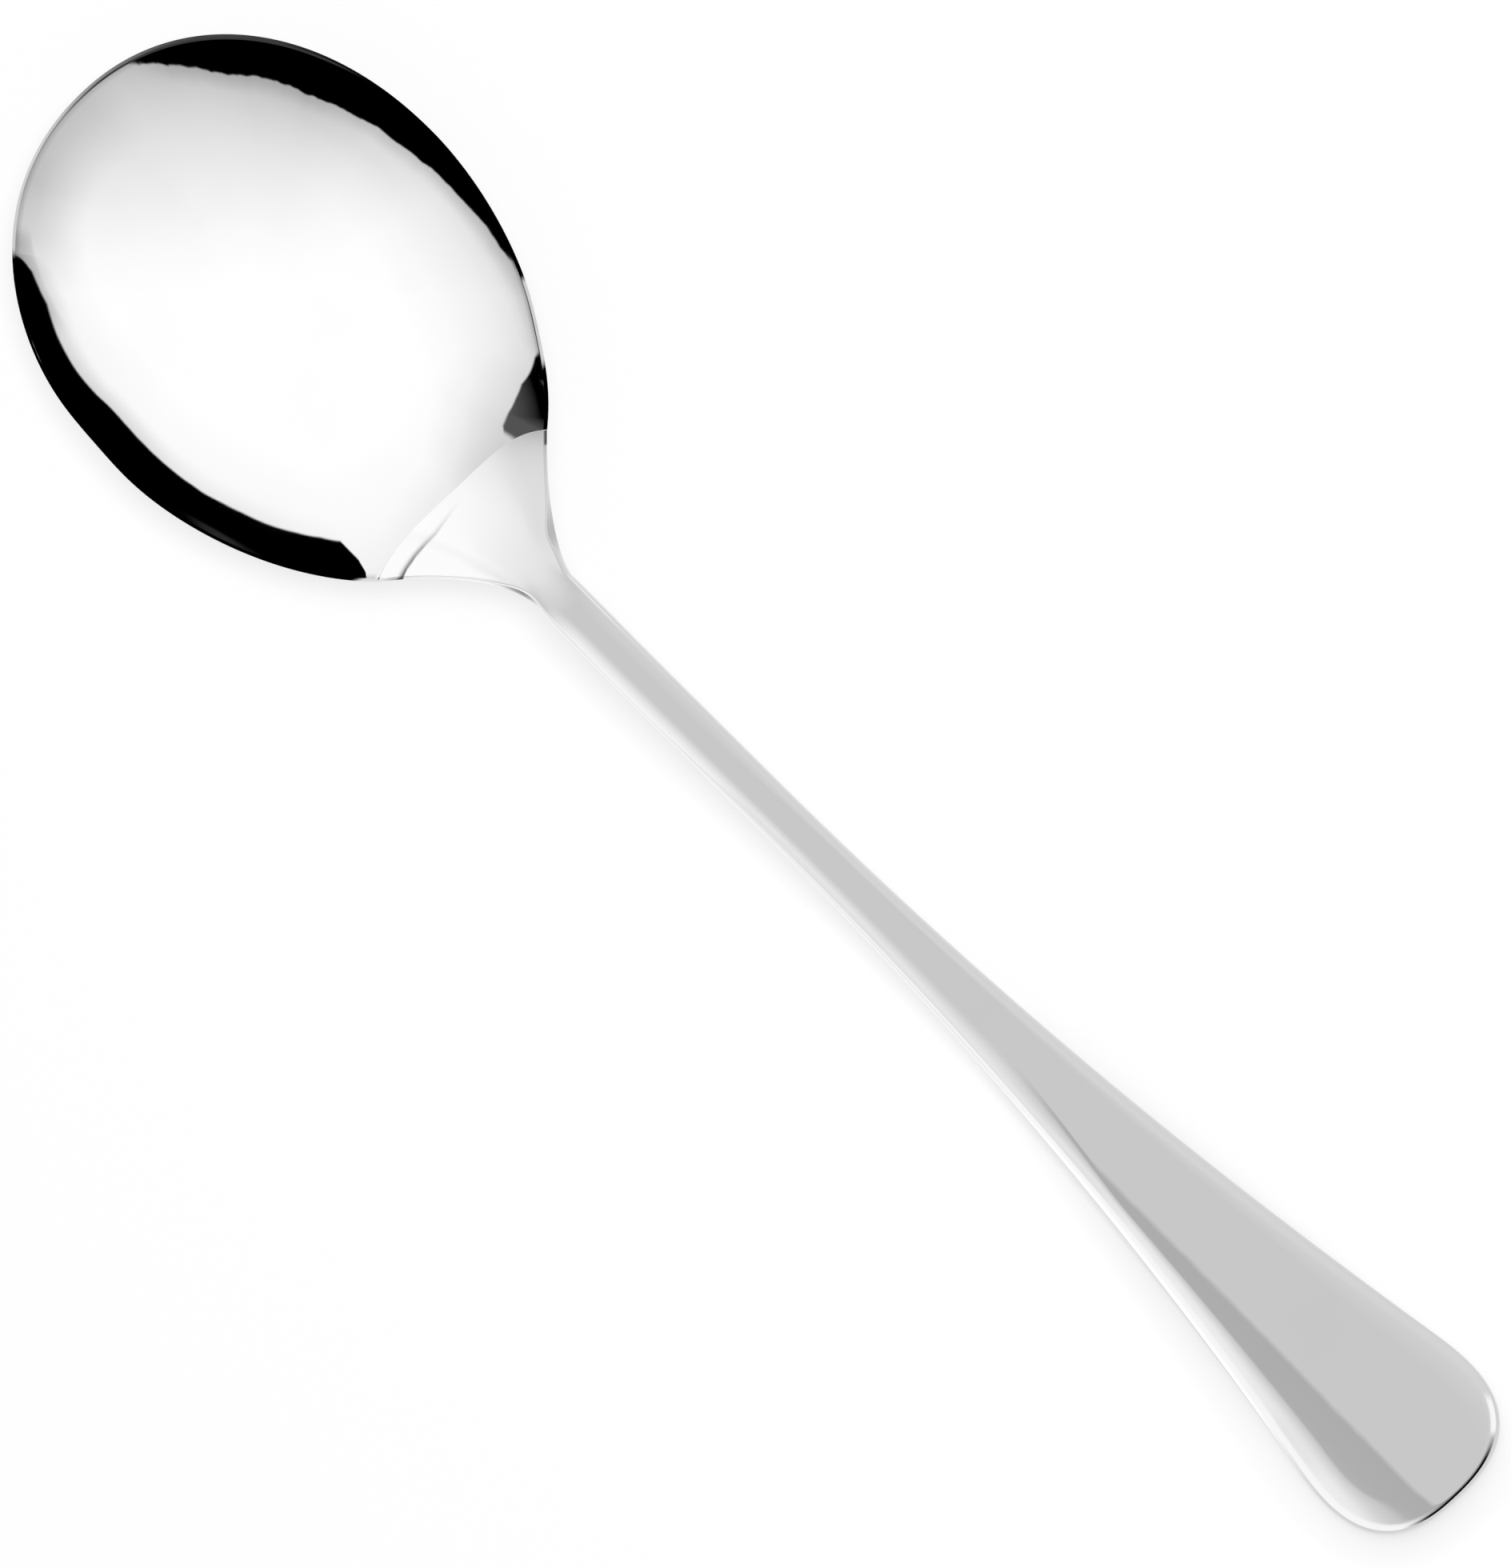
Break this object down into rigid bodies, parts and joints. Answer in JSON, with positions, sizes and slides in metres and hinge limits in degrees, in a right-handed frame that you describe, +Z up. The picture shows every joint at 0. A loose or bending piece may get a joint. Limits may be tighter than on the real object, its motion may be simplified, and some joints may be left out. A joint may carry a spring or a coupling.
{
  "type": "salad serving spoon",
  "caption": "Polished steel serving spoon: an egg-shaped bowl joined by a fan-shaped root and a slim neck to a flat handle that flares to a broad rounded end.",
  "frame": {"origin": "on the table, below the middle of the spoon's box, with the spoon lying on its back", "axes": "+X from the bowl's tip to the handle's end, +Y across, +Z up out of the bowl"},
  "size_m": [0.245, 0.058, 0.016],
  "materials": {
    "bowl_steel": "polished",
    "handle_steel": "polished"
  },
  "bodies": {
    "root": {"bowl": "bowl_steel", "handle": "handle_steel"}
  },
  "joints": []
}
